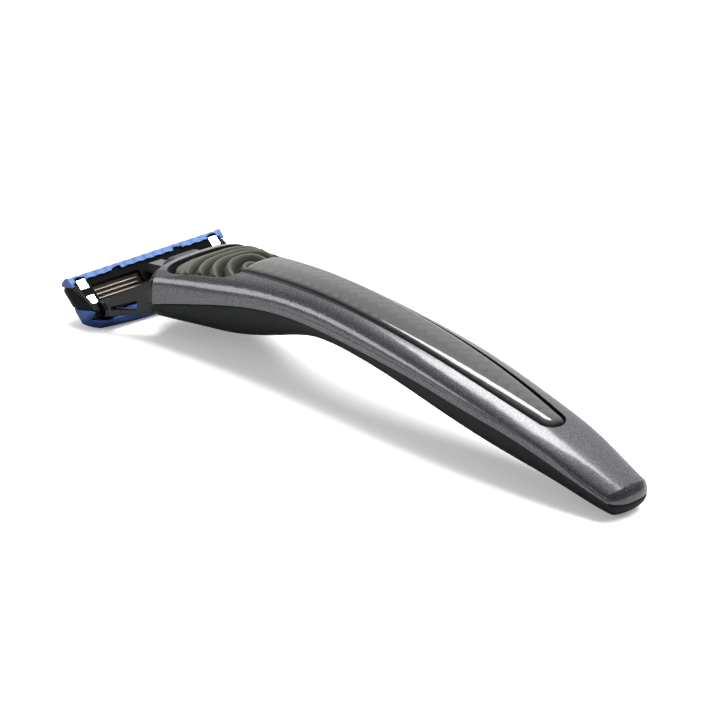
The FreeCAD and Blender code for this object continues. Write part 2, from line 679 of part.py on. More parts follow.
def clip_cuts(grow):
    """The spaces that the clips' legs need, on the +Y side."""
    y0, y1 = CLIP_Y[0] - grow, CLIP_Y[1] + grow
    half = CLIP_THICK / 2 + grow
    return [box(u - half, u + half, y0, y1, -1, 8) for u in CLIP_LEGS]


def make_housing():
    u0, u1, v0, v1 = FRAME
    frame = box(u0, u1, -CHEEK_IN, CHEEK_IN, v0, v1)
    frame = frame.cut(box(7.4, u1 + 1, -CHEEK_IN, CHEEK_IN, v0 - 1, 1.0))
    frame = frame.cut(box(POCKET[0], POCKET[1], -SUPPORT_HALF - 0.15, SUPPORT_HALF + 0.15, -1, 2.2))
    frame = frame.cut(box(WINDOW[0], WINDOW[1], -WINDOW_HALF, WINDOW_HALF, 0, 5))
    cam = box(WINDOW[0] - 0.1, 4.9, -CAM_HALF, CAM_HALF, 2.2, v1)
    frame = frame.fuse(cam).fuse(both_sides(make_cheek()))
    relief = pivot_rod(BOSS_R + 0.25, LUG_Y[1], CHEEK_IN)
    cap = side_prism(COMB_CAP, COMB_Y[0] - 0.06, CART_HALF + 1.0, 0.05)
    for cut in clip_cuts(0.06) + [relief, cap]:
        frame = frame.cut(cut).cut(mirrored(cut))
    return solid(frame.fuse(both_sides(make_lug())))


def make_guard():
    bar = side_prism(GUARD_SIDE, -GUARD_HALF, GUARD_HALF)
    wrap = side_prism(GUARD_WRAP, CHEEK_STEP + 0.05, GUARD_HALF)
    bar = bar.fuse(wrap).fuse(mirrored(wrap))
    bow = [(4.0, -GUARD_HALF, 0), (8.6, -GUARD_HALF, 0), (11.2, -17.6, 0)]
    other = [(u, -y, z) for u, y, z in bow]
    edges = [line(bow[0], other[0]), line(bow[0], bow[1]), line(other[0], other[1])]
    edges += [line(bow[1], bow[2]), line(other[1], other[2])]
    edges.append(arc(bow[2], (11.6 + GUARD_BOW + 0.1, 0, 0), other[2]))
    guard = bar.common(prism_z(edges))
    cheek = cheek_block(0.07).fuse(box(0, CLIP_LEGS[1] + 0.25, CLIP_Y[0] - 0.1, CLIP_Y[1] + 0.1, -1, 4))
    guard = guard.cut(cheek).cut(mirrored(cheek))
    u0, u1, v0, v1 = FRAME
    middle = CHEEK_IN + 0.07
    guard = guard.cut(box(-5, 7.47, -middle, middle, -2, 9))
    guard = guard.cut(box(-5, u1 + 0.07, -middle, middle, 0.93, 9))
    for i in range(4):
        u = 7.8 + 0.45 * i
        guard = guard.cut(box(u, u + 0.22, -15.0, 15.0, -1, 0.45))
    shoulder = pivot_rod(BOSS_R + 0.3, LUG_Y[0] - 0.2, CHEEK_IN + 0.1)
    return solid(guard.cut(shoulder).cut(mirrored(shoulder)))


def make_comb():
    comb = side_prism(COMB_SIDE, -COMB_Y[0] - 0.1, COMB_Y[0] + 0.1)
    cap = side_prism(COMB_CAP, COMB_Y[0], COMB_Y[1])
    comb = comb.fuse(cap).fuse(mirrored(cap))
    count = int(2 * (COMB_Y[0] - 1.0) / COMB_PITCH)
    for i in range(count + 1):
        y = (i - count / 2) * COMB_PITCH
        comb = comb.cut(Part.makeCylinder(COMB_SCALLOP[0], 6, V(COMB_SCALLOP[1], y, 0)))
    for s in (-1, 1):
        low, high = sorted((s * (CLIP_Y[0] - 0.2), s * (CLIP_Y[1] + 0.2)))
        comb = comb.cut(box(0.05, 3, low, high, 2, 6))
        comb = comb.cut(box(0.3, 3, s * LATCH_Y - LATCH_HALF, s * LATCH_Y + LATCH_HALF, 2, 6))
    return solid(comb)


def make_trimmer_blade():
    return box(-0.24, -0.14, -15.5, 15.5, 0.6, 2.9)


def make_strip():
    strip = box(-0.05, 1.65, -15.8, 15.8, -0.3, 0.32)
    edges = [e for e in strip.Edges if e.BoundBox.ZMax < -0.29 and e.BoundBox.YLength > 5]
    return strip.makeFillet(0.25, edges)


def make_clip():
    """The clip on the +Y side: a strap over the front, two legs and two ends bent over the back."""
    y0, y1 = CLIP_Y
    half = CLIP_THICK / 2
    top, bottom = CLIP_LEGS
    back = FRAME[3] + 0.04
    clip = box(top - half, bottom + half, y0, y1, -0.02 - CLIP_THICK, -0.02)
    for u in CLIP_LEGS:
        clip = clip.fuse(box(u - half, u + half, y0, y1, -0.02 - CLIP_THICK, back + CLIP_THICK))
    clip = clip.fuse(box(top - half, top + CLIP_TAB, y0, y1, back, back + CLIP_THICK))
    clip = clip.fuse(box(bottom - CLIP_TAB, bottom + half, y0, y1, back, back + CLIP_THICK))
    return solid(clip.removeSplitter())


def make_blade(i):
    """A blade strip, tilted so that its edge leads, with a ground bevel."""
    blade = box(-BLADE_WIDTH, 0, -BLADE_HALF + 0.1, BLADE_HALF - 0.1, 0, BLADE_THICK)
    blade.rotate(V(0, 0, 0), V(0, 1, 0), BLADE_TILT)
    blade.translate(V(BLADE_FIRST + i * BLADE_PITCH, 0, 0.02))
    return blade


def make_support(i):
    """The bent support under a blade: a tilted flange and an upright leg."""
    flange = box(-BLADE_WIDTH, -0.3, -SUPPORT_HALF, SUPPORT_HALF, BLADE_THICK + 0.01,
                 BLADE_THICK + 0.01 + SUPPORT_THICK)
    flange.rotate(V(0, 0, 0), V(0, 1, 0), BLADE_TILT)
    leg = box(-0.5, -0.5 + SUPPORT_THICK, -SUPPORT_HALF, SUPPORT_HALF, 0.38, SUPPORT_DROP)
    support = flange.fuse(leg)
    support.translate(V(BLADE_FIRST + i * BLADE_PITCH, 0, 0.02))
    return solid(support)


def build():
    limit = plan_limit(0.0, 0.0)
    parts = {
        "upper_shell": make_upper_shell(painted_body().common(limit)),
        "lower_shell": make_lower_shell(),
        "rubber_grip": make_rubber_grip(limit),
        "top_inlay": make_inlay(),
        "inlay_pad": make_inlay_pad(),
        "weight_bar": make_weight(),
        "shell_screws": make_screws(),
        "docking_stub": make_dock(),
        "dock_screw": make_dock_screw(),
        "release_button": make_button(),
        "button_slider": make_slider(),
        "ejector_fork": make_fork(),
        "button_spring": make_button_spring(),
        "plunger": make_plunger(),
        "plunger_spring": make_plunger_spring(),
        "yoke": make_yoke(),
        "cartridge_housing": on_cartridge(make_housing()),
        "guard_elastomer": solid(above_floor(on_cartridge(make_guard()))),
        "trimmer_comb": on_cartridge(make_comb()),
        "trimmer_blade": on_cartridge(make_trimmer_blade()),
        "lubricating_strip": on_cartridge(make_strip()),
        "clip_left": on_cartridge(mirrored(make_clip())),
        "clip_right": on_cartridge(make_clip()),
    }
    for i in range(BLADE_COUNT):
        parts[f"blade_{i + 1}"] = on_cartridge(make_blade(i))
        parts[f"blade_support_{i + 1}"] = on_cartridge(make_support(i))
    return parts


def main():
    os.makedirs("parts", exist_ok=True)
    parts = build()
    whole = group(list(parts.values())).optimalBoundingBox(False)
    origin = V((whole.XMin + whole.XMax) / 2, (whole.YMin + whole.YMax) / 2, whole.ZMin)
    for name, shape in parts.items():
        shape.translate(-origin)
        shape.exportStep(f"parts/{name}.step")
    x, z = pivot_point()
    print("origin at", origin, "pivot axis at", x - origin.x, z - origin.z)


main()
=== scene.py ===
import json
import math

import bpy
import numpy as np
from mathutils import Matrix, Vector
from mathutils.bvhtree import BVHTree

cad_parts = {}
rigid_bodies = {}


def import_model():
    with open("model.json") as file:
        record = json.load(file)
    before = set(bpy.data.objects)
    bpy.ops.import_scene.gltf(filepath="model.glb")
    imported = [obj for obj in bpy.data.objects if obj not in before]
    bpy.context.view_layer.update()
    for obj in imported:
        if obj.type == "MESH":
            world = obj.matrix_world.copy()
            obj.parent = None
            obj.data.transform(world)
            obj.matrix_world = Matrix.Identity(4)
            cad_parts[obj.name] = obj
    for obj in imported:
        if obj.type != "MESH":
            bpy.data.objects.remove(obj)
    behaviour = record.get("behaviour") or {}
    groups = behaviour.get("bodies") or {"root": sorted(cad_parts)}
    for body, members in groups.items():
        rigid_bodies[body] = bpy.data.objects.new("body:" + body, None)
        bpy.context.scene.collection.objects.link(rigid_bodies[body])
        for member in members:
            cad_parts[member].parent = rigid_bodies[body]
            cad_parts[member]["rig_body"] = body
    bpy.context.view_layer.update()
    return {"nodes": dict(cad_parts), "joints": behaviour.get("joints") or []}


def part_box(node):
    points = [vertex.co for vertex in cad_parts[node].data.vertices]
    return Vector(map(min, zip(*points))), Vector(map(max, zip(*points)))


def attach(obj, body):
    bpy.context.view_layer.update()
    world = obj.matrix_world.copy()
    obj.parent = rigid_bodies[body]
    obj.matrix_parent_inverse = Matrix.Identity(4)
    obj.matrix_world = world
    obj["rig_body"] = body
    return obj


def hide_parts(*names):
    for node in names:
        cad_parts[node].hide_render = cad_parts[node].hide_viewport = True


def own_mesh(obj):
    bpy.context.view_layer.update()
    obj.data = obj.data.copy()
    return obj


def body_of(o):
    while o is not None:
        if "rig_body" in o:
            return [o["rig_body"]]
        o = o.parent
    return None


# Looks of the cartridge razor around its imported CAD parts. Lengths are metres in the row frame unless a name
# ends in _MM. +X runs from the cartridge to the butt, +Y is to the razor's side and +Z is up.

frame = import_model()
nodes = frame["nodes"]

MM = 0.001

# ---- camera and studio ----
CAMERA_TARGET = (0.006416, -0.008, 0.012)
CAMERA_DISTANCE = 0.6
CAMERA_AZIMUTH = 47.41           # degrees from -Y towards +X
CAMERA_ELEVATION = 24.03         # degrees above the floor
CAMERA_LENS_MM = 160.9
CAMERA_CLIP_START = 0.01
SENSOR_MM = 36.0
FLOOR_HALF = 3.0

AWAY = (-0.72, 0.66, 0.2)        # direction of the pale sweep behind the razor
UP = (0.0, 0.0, 1.0)
SWEEP_EDGE = (0.35, 0.9)         # the sweep brightens between these cosines of the angle to AWAY
CEILING_EDGE = (0.7, 0.95)       # the ceiling brightens between these cosines of the angle to UP
BACKDROP_LEVEL = 0.7
CEILING_LEVEL = 0.35
ROOM_LEVEL = 0.10
SHADOW_FILL = 0.3                # glow of the floor that keeps the shadow pale

# ---- thumb button ----
BUTTON_VOXEL_MM = 0.16
BUTTON_SMOOTHING = 6
BUTTON_LIFT_MM = 0.9             # how far the rubber's top stands above the plain shape
BUTTON_TAIL_MM = (6.0, 2.2)      # the rubber's top rounds down over this length, by this much, at its rear
UPWARD = (0.35, 0.8)             # a surface counts as the top as its normal's z rises between these
RIDGE_CENTRE_MM = 1.5            # distance of the horseshoes' centre from the rear
RIDGE_PITCH_MM = 2.6
RIDGE_HEIGHT_MM = 1.8
RIDGE_SPREAD = 0.8               # how much flatter than circles the ridges are
RIDGE_BLUNTNESS = 0.8            # below 1 the ridges are blunt and the grooves between them narrow
RIDGE_LEVEL = 0.75               # share of a ridge that lies below the plain shape
RIDGE_REACH_MM = (11.6, 13.0)    # the ridges fade out between these distances from their centre
GROOVE_SHADE_SHARPNESS = 1.3           # how narrow the painted shade in the grooves is

# ---- comb ----
COMB_VOXEL_MM = 0.1
COMB_SMOOTHING = 2
SCALLOP_PITCH_MM = 2.5           # the comb's top edge waves along the cartridge
SCALLOP_DEPTH_MM = 0.22
SCALLOP_BAND_MM = (1.4, 0.5)     # the waves fade in between these depths under the comb's top

# ---- inlay ----
CAD_ORIGIN_MM = 59.484           # x of the row frame's origin in the handle's own lengths
INLAY_SIDE_MM = [(29.2, 5.2), (42.0, 4.9), (60.0, 4.65), (80.0, 4.4), (96.0, 3.9), (107.5, 2.95)]
INLAY_SIDE_ORDER = 4             # order of the smooth curve through those (x, half width) pairs
INLAY_SIDE_POINTS = 140
INLAY_END_POINTS = 15
INLAY_BULGE_MM = 1.2             # how far the front end bows forward
INLAY_TAIL_MM = 2.7              # length of the rounded tail
INLAY_TAIL_POWER = 0.8           # below 1 the tail is fuller than a half ellipse
INLAY_MIDDLE_MM = (2.5, 1.0)     # the middle line stops this far from the front and from the tail's start
INLAY_WIDE_MM = (1.6, 2.0)       # width of the inlay's rounded shoulder at its front and at its tail
INLAY_DEEP_MM = (0.8, 0.95)      # depth of that shoulder
INLAY_SAG_MM = (0.5, 0.75)       # how much lower the inlay is at its sides than along its middle
INLAY_THICK_MM = 1.4
INLAY_WALL_MM = 1.0              # height of the upright wall under the shoulder
INLAY_INSET_MM = 0.05            # the crown's height is read at least this far inside the ends
INLAY_CREASE = 50                # degrees; sharper edges are not shaded smooth
SHOULDER_STEPS = [0.0, 0.03, 0.08, 0.16, 0.28, 0.42, 0.6, 0.8, 1.0]
SHOULDER_LIMIT = 0.8             # the shoulder takes up to this share of the way to the middle line
CROWN_STEPS = 5
TOW_WIDTH_MM = 1.9               # width of the weave's tows
TOW_SHIFT_MM = 0.3

# ---- rounded copies of the other moulded nodes: node, piece, voxel size in mm, rounds of smoothing ----
MOULDED = [
    ("rubber_grip", "grip_skin", 0.3, 4),
    ("guard_elastomer", "guard_skin", 0.15, 24),
    ("yoke", "yoke_body", 0.14, 12),
    ("cartridge_housing", "housing_body", 0.1, 1),
]
WELD_MM = 0.002
INLAY_WELD_MM = 0.001

# ---- material slot of each node ----
SLOTS = {
    "upper_shell": "shell_paint",
    "lower_shell": "chassis_plastic",
    "rubber_grip": "grip_rubber",
    "top_inlay": "inlay_weave",
    "inlay_pad": "bond_pad",
    "weight_bar": "weight_steel",
    "shell_screws": "screw_steel",
    "docking_stub": "tongue_plastic",
    "dock_screw": "screw_steel",
    "release_button": "button_rubber",
    "button_slider": "black_plastic",
    "ejector_fork": "black_plastic",
    "button_spring": "screw_steel",
    "plunger": "tongue_plastic",
    "plunger_spring": "screw_steel",
    "yoke": "black_plastic",
    "cartridge_housing": "housing_plastic",
    "guard_elastomer": "guard_blue",
    "trimmer_comb": "comb_blue",
    "trimmer_blade": "blade_steel",
    "lubricating_strip": "strip_polymer",
    "clip_left": "clip_metal",
    "clip_right": "clip_metal",
}
for number in range(1, 6):
    SLOTS[f"blade_{number}"] = "blade_steel"
    SLOTS[f"blade_support_{number}"] = "support_steel"

MATERIALS = {}                   # every finished material by its name


class Finish:
    """A node material put together with short calls. Texture lengths are in millimetres of the row frame."""

    def __init__(self, name, color, roughness, metallic=0.0, coat=0.0, specular=0.5):
        self.material = bpy.data.materials.new(name)
        self.material.use_nodes = True
        MATERIALS[name] = self.material
        self.tree = self.material.node_tree
        self.shader = self.tree.nodes["Principled BSDF"]
        self.set("Base Color", (*color, 1.0))
        self.set("Roughness", roughness)
        self.set("Metallic", metallic)
        self.set("Coat Weight", coat)
        self.set("Coat Roughness", 0.06)
        self.set("Specular IOR Level", specular)
        place = self.node("ShaderNodeTexCoord").outputs["Object"]
        scale = self.node("ShaderNodeVectorMath", operation="SCALE")
        scale.inputs["Scale"].default_value = 1.0 / MM
        self.link(place, scale.inputs[0])
        self.place = scale.outputs["Vector"]
        self.normal = None

    def node(self, kind, **settings):
        made = self.tree.nodes.new(kind)
        for key, value in settings.items():
            setattr(made, key, value)
        return made

    def link(self, source, target):
        self.tree.links.new(source, target)

    def put(self, socket, value):
        """Gives an input a value, or joins it to another node's output."""
        if isinstance(value, bpy.types.NodeSocket):
            self.link(value, socket)
        else:
            socket.default_value = value

    def set(self, name, value):
        self.put(self.shader.inputs[name], value)

    def math(self, operation, a, b=0.0):
        made = self.node("ShaderNodeMath", operation=operation)
        self.put(made.inputs[0], a)
        self.put(made.inputs[1], b)
        return made.outputs[0]

    def axes(self, place=None):
        """The x, y and z of a place, or the red, green and blue of a colour."""
        made = self.node("ShaderNodeSeparateXYZ")
        self.link(place or self.place, made.inputs[0])
        return made.outputs

    def stretched(self, factors):
        made = self.node("ShaderNodeVectorMath", operation="MULTIPLY")
        self.link(self.place, made.inputs[0])
        made.inputs[1].default_value = factors
        return made.outputs["Vector"]

    def noise(self, scale, detail=2.0, roughness=0.5, place=None):
        made = self.node("ShaderNodeTexNoise")
        self.link(place or self.place, made.inputs["Vector"])
        made.inputs["Scale"].default_value = scale
        made.inputs["Detail"].default_value = detail
        made.inputs["Roughness"].default_value = roughness
        return made.outputs["Fac"]

    def cells(self, scale):
        """Random colour for each cell of a Voronoi pattern."""
        made = self.node("ShaderNodeTexVoronoi")
        self.link(self.place, made.inputs["Vector"])
        made.inputs["Scale"].default_value = scale
        return made.outputs["Color"]

    def spread(self, factor, low, high, from_low=0.0, from_high=1.0):
        """Low where the factor is from_low, high where it is from_high."""
        made = self.node("ShaderNodeMapRange")
        values = (factor, from_low, from_high, low, high)
        for name, value in zip(("Value", "From Min", "From Max", "To Min", "To Max"), values):
            self.put(made.inputs[name], value)
        return made.outputs["Result"]

    def blend(self, factor, a, b):
        """Colour a at factor 0 and colour b at factor 1."""
        made = self.node("ShaderNodeMix", data_type="RGBA")
        self.put(made.inputs[0], factor)
        for socket, value in ((made.inputs[6], a), (made.inputs[7], b)):
            self.put(socket, value if isinstance(value, bpy.types.NodeSocket) else (*value, 1.0))
        return made.outputs[2]

    def turn_normal(self, made, coat):
        """Puts a node that changes the normal after those already there."""
        if self.normal is not None:
            self.link(self.normal, made.inputs["Normal"])
        self.normal = made.outputs["Normal"]
        self.link(self.normal, self.shader.inputs["Normal"])
        if coat:
            self.link(self.normal, self.shader.inputs["Coat Normal"])

    def rounded(self, radius_mm):
        """Softens the look of sharp edges."""
        made = self.node("ShaderNodeBevel", samples=4)
        made.inputs["Radius"].default_value = radius_mm * MM
        self.turn_normal(made, coat=True)

    def bump(self, height, depth_mm, coat=True):
        made = self.node("ShaderNodeBump")
        made.inputs["Strength"].default_value = 1.0
        made.inputs["Distance"].default_value = depth_mm * MM
        self.link(height, made.inputs["Height"])
        self.turn_normal(made, coat)


# ---- materials ----

def shell_paint():
    """Grey metallic paint with visible flakes under a clear coat."""
    gap_tone = (0.045, 0.045, 0.054)
    flake_tone = (0.22, 0.22, 0.25)
    haze_tone = (0.10, 0.095, 0.11)
    paint = Finish("shell_paint", haze_tone, 0.32, metallic=0.7, coat=1.0)
    paint.set("Coat Roughness", 0.15)
    paint.set("Coat IOR", 1.65)
    flakes = paint.axes(paint.cells(11.0))
    sparkle = paint.math("POWER", flakes[0], 4.0)
    haze = paint.noise(0.5, 3.0)
    base = paint.blend(sparkle, gap_tone, flake_tone)
    paint.set("Base Color", paint.blend(paint.spread(haze, 0.0, 0.2), base, haze_tone))
    paint.set("Roughness", paint.spread(flakes[1], 0.32, 0.5))
    paint.rounded(0.2)
    paint.bump(flakes[2], 0.006, coat=False)


def grip_rubber():
    """Matt charcoal rubber with a fine moulded grain."""
    dark_tone = (0.009, 0.011, 0.012)
    light_tone = (0.016, 0.019, 0.020)
    rubber = Finish("grip_rubber", light_tone, 0.55, specular=0.25)
    rubber.set("Base Color", rubber.blend(rubber.noise(0.12, 4.0), dark_tone, light_tone))
    rubber.set("Roughness", rubber.spread(rubber.noise(0.6), 0.46, 0.66))
    rubber.rounded(0.12)
    rubber.bump(rubber.noise(9.0, 3.0), 0.02)


def button_rubber():
    """Soft grey-green rubber with painted shade darkening the grooves between its ridges."""
    dark_tone = (0.065, 0.070, 0.054)
    light_tone = (0.088, 0.094, 0.074)
    groove_shade_tone = (0.006, 0.007, 0.005)
    rubber = Finish("button_rubber", light_tone, 0.5, specular=0.3)
    # the button's groove mask is painted shade: it darkens the grooves between the ridges
    groove_shade = rubber.node("ShaderNodeAttribute", attribute_name="groove_shade").outputs["Fac"]
    tone = rubber.blend(rubber.noise(0.3, 4.0), dark_tone, light_tone)
    rubber.set("Base Color", rubber.blend(groove_shade, tone, groove_shade_tone))
    rubber.set("Roughness", rubber.spread(rubber.noise(0.9), 0.42, 0.6))
    rubber.bump(rubber.noise(8.0, 3.0), 0.015)


def inlay_weave():
    """Clear-coated carbon twill at 45 degrees: tows of two directions that cross over two and under two. The
    two directions' tones are painted sheen, and the upright walls are painted near black as painted shade.
    """
    # the tow tones are painted sheen: each direction gets the lighter or darker tone its sheen would give
    weft_sheen_tone = (0.016, 0.016, 0.015)
    warp_sheen_tone = (0.045, 0.044, 0.043)
    edge_tone = (0.012, 0.012, 0.012)
    fibre_tone = (0.02, 0.02, 0.02)
    wall_shade_tone = (0.004, 0.004, 0.004)
    weave = Finish("inlay_weave", warp_sheen_tone, 0.4, metallic=0.3)
    weave.set("Coat Roughness", 0.04)
    weave.set("Coat IOR", 1.8)
    x, y = weave.axes()[:2]
    width = TOW_WIDTH_MM * math.sqrt(2)
    along = weave.math("DIVIDE", weave.math("ADD", x, y), width)
    across = weave.math("DIVIDE", weave.math("SUBTRACT", x, weave.math("SUBTRACT", y, TOW_SHIFT_MM)), width)
    step = weave.math("SUBTRACT", weave.math("FLOOR", along), weave.math("FLOOR", across))
    warp = weave.math("LESS_THAN", weave.math("FLOORED_MODULO", step, 4.0), 1.5)
    weft_height = weave.math("SINE", weave.math("MULTIPLY", weave.math("FRACT", along), math.pi))
    warp_height = weave.math("SINE", weave.math("MULTIPLY", weave.math("FRACT", across), math.pi))
    mix = weave.node("ShaderNodeMix", data_type="FLOAT")
    for socket, value in ((mix.inputs[0], warp), (mix.inputs[2], weft_height), (mix.inputs[3], warp_height)):
        weave.put(socket, value)
    height = mix.outputs[0]
    edge = weave.math("MULTIPLY", weave.math("SUBTRACT", 1.0, height), 0.5)
    tows = weave.blend(edge, weave.blend(warp, weft_sheen_tone, warp_sheen_tone), edge_tone)
    top_tone = weave.blend(weave.spread(weave.noise(4.0, 3.0), 0.0, 0.4), tows, fibre_tone)
    up = weave.axes(weave.node("ShaderNodeNewGeometry").outputs["Normal"])[2]
    # painted shade: faces that turn away from up, such as the upright walls, are painted near black and lose
    # most of their coat
    weave.set("Base Color", weave.blend(weave.spread(up, 0.0, 1.0, 0.75, 0.94), wall_shade_tone, top_tone))
    weave.set("Coat Weight", weave.spread(up, 0.1, 1.0, 0.75, 0.92))
    weave.bump(height, 0.03, coat=False)


def plain_plastic(name, color, roughness, edge_mm=0.08, specular=0.5):
    """Moulded plastic with slight variation in tone and gloss and a faint grain."""
    plastic = Finish(name, color, roughness, specular=specular)
    light = tuple(min(1.0, c * 1.25) for c in color)
    dark = tuple(c * 0.85 for c in color)
    plastic.set("Base Color", plastic.blend(plastic.noise(0.25, 3.0), dark, light))
    plastic.set("Roughness", plastic.spread(plastic.noise(0.8), roughness * 0.8, roughness * 1.25))
    plastic.rounded(edge_mm)
    plastic.bump(plastic.noise(6.0, 2.0), 0.004)


def plain_metal(name, color, roughness, brushed=(1.0, 1.0, 1.0)):
    """Metal with fine brushing marks, which are long where brushed is small."""
    metal = Finish(name, color, roughness, metallic=1.0)
    marks = metal.noise(2.0, 4.0, 0.6, place=metal.stretched(brushed))
    dull = tuple(c * 0.8 for c in color)
    metal.set("Base Color", metal.blend(marks, dull, color))
    metal.set("Roughness", metal.spread(marks, roughness * 0.7, roughness * 1.4))
    metal.rounded(0.03)
    metal.bump(marks, 0.003)


def make_materials():
    lengthwise = (0.1, 4.0, 4.0)
    crosswise = (6.0, 0.15, 6.0)
    shell_paint()
    grip_rubber()
    button_rubber()
    inlay_weave()
    plain_plastic("chassis_plastic", (0.012, 0.012, 0.013), 0.4)
    plain_plastic("bond_pad", (0.6, 0.58, 0.5), 0.7)
    plain_plastic("tongue_plastic", (0.07, 0.07, 0.07), 0.25)
    plain_plastic("black_plastic", (0.007, 0.007, 0.008), 0.2, edge_mm=0.12)
    plain_plastic("housing_plastic", (0.004, 0.004, 0.005), 0.3, edge_mm=0.12, specular=0.12)
    plain_plastic("guard_blue", (0.018, 0.065, 0.24), 0.3, edge_mm=0.1, specular=0.4)
    plain_plastic("comb_blue", (0.05, 0.115, 0.30), 0.4, edge_mm=0.06, specular=0.3)
    plain_plastic("strip_polymer", (0.35, 0.5, 0.75), 0.3)
    plain_metal("weight_steel", (0.5, 0.49, 0.47), 0.35, lengthwise)
    plain_metal("screw_steel", (0.45, 0.45, 0.46), 0.3)
    plain_metal("blade_steel", (0.45, 0.42, 0.38), 0.3, crosswise)
    plain_metal("support_steel", (0.30, 0.27, 0.24), 0.4, crosswise)
    plain_metal("clip_metal", (0.86, 0.86, 0.86), 0.16, (4.0, 4.0, 4.0))


# ---- helpers for the visual pieces ----

def paint(obj, slot_name):
    obj.data.materials.clear()
    obj.data.materials.append(MATERIALS[slot_name])


def link(obj):
    bpy.context.scene.collection.objects.link(obj)
    return obj


def stand_for(piece, node):
    """Lets a finished piece ride, look and count as its CAD node does."""
    paint(piece, SLOTS[node])
    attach(piece, body_of(nodes[node])[0])
    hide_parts(node)


def weld(obj, distance_mm):
    """Joins the vertices that lie closer together than the distance."""
    modifier = obj.modifiers.new("weld", "WELD")
    modifier.merge_threshold = distance_mm * MM


def apply_modifiers(obj):
    """Turns the modifiers' result into the object's own mesh and shades it smooth."""
    graph = bpy.context.evaluated_depsgraph_get()
    mesh = bpy.data.meshes.new_from_object(obj.evaluated_get(graph))
    obj.modifiers.clear()
    obj.data = mesh
    for polygon in mesh.polygons:
        polygon.use_smooth = True


def vectors_of(mesh, attribute):
    """An attribute of all vertices, such as their places or normals, as rows of three."""
    flat = np.zeros(len(mesh.vertices) * 3, np.float32)
    mesh.vertices.foreach_get(attribute, flat)
    return flat.reshape(-1, 3).astype(float)


def move_points(mesh, points):
    mesh.vertices.foreach_set("co", points.astype(np.float32).ravel())
    mesh.update()


def smooth_step(value, start, end):
    share = np.clip((value - start) / (end - start), 0.0, 1.0)
    return share * share * (3 - 2 * share)


def ripple(distance, pitch):
    """A wave between 0 and 1 that starts at 0."""
    return 0.5 - 0.5 * np.cos(2 * math.pi * distance / pitch)


def moulded(node, piece, voxel_mm, smoothing):
    """A copy of a CAD node with its edges and corners rounded like a moulding's."""
    copy = link(bpy.data.objects.new(piece, nodes[node].data.copy()))
    weld(copy, WELD_MM)
    remesh = copy.modifiers.new("remesh", "REMESH")
    remesh.mode = "VOXEL"
    remesh.voxel_size = voxel_mm * MM
    smooth = copy.modifiers.new("smooth", "SMOOTH")
    smooth.factor = 0.5
    smooth.iterations = smoothing
    apply_modifiers(copy)
    stand_for(copy, node)
    return copy


# ---- visual pieces ----

def make_button():
    """The thumb button's rubber, with horseshoe ridges that bulge towards the head."""
    button = moulded("release_button", "thumb_button", BUTTON_VOXEL_MM, BUTTON_SMOOTHING)
    low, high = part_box("release_button")
    points = vectors_of(button.data, "co")
    upward = smooth_step(vectors_of(button.data, "normal")[:, 2], *UPWARD)
    x, y = points[:, 0] / MM, points[:, 1] / MM
    rear = high.x / MM
    reach = np.hypot(x - (rear - RIDGE_CENTRE_MM), y * RIDGE_SPREAD)
    ridge = ripple(reach, RIDGE_PITCH_MM)
    inside = (1.0 - smooth_step(reach, *RIDGE_REACH_MM)) * upward
    points[:, 2] += (ridge ** RIDGE_BLUNTNESS - RIDGE_LEVEL) * RIDGE_HEIGHT_MM * MM * inside
    points[:, 2] += BUTTON_LIFT_MM * MM * upward
    tail_length, tail_drop = BUTTON_TAIL_MM
    height = np.clip((points[:, 2] - low.z) / (high.z - low.z), 0.0, 1.0)
    points[:, 2] -= tail_drop * MM * height * smooth_step(x, rear - tail_length, rear)
    move_points(button.data, points)
    # painted shade: a mask that is strongest deep in the grooves between ridges, read by the button's material
    groove_shade = button.data.attributes.new("groove_shade", "FLOAT", "POINT")
    groove_shade.data.foreach_set("value", ((1.0 - ridge) ** GROOVE_SHADE_SHARPNESS * inside).astype(np.float32))


def make_comb():
    """The trimmer's comb, with shallow scallops along its top edge."""
    comb = moulded("trimmer_comb", "comb_body", COMB_VOXEL_MM, COMB_SMOOTHING)
    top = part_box("trimmer_comb")[1].z
    points = vectors_of(comb.data, "co")
    depth = (top - points[:, 2]) / MM
    fade_start, fade_end = SCALLOP_BAND_MM
    near_top = smooth_step(-depth, -fade_start, -fade_end)
    points[:, 2] -= ripple(points[:, 1] / MM, SCALLOP_PITCH_MM) * near_top * SCALLOP_DEPTH_MM * MM
    move_points(comb.data, points)
    return comb


def make_spring(node, joint_name):
    """A copy of a spring node that stands in for it; the reach of its points along its joint's axis is worked
    out but not used.
    """
    joint = next(joint for joint in frame["joints"] if joint["name"] == joint_name)
    spring = link(bpy.data.objects.new(node + "_coil", nodes[node].data.copy()))
    stand_for(spring, node)
    axis = Vector(joint["axis"])
    reach = vectors_of(spring.data, "co") @ np.array(axis)
    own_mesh(spring)


def inlay_outline():
    """Outline of the inlay and the nearest point of its middle line, as (x, y, middle x) in millimetres."""
    xs, halves = np.array(INLAY_SIDE_MM).T
    curve = np.polyfit(xs, halves, INLAY_SIDE_ORDER)
    start, end = xs[0], xs[-1]
    loop = []
    for share in np.linspace(0.0, 1.0, INLAY_END_POINTS)[1:]:
        loop.append((start - INLAY_BULGE_MM * (1 - share ** 2), halves[0] * share))
    for x in np.linspace(start, end, INLAY_SIDE_POINTS)[1:]:
        loop.append((x, float(np.polyval(curve, x))))
    tail_half = loop[-1][1]
    for angle in np.linspace(0.0, math.pi / 2, INLAY_END_POINTS)[1:-1]:
        loop.append((end + INLAY_TAIL_MM * math.sin(angle), tail_half * math.cos(angle) ** INLAY_TAIL_POWER))
    loop.append((end + INLAY_TAIL_MM, 0.0))
    points = [(start - INLAY_BULGE_MM, 0.0)] + loop + [(x, -y) for x, y in reversed(loop[:-1])]
    first, last = start + INLAY_MIDDLE_MM[0], end - INLAY_MIDDLE_MM[1]
    return [(x, y, min(max(x, first), last)) for x, y in points]


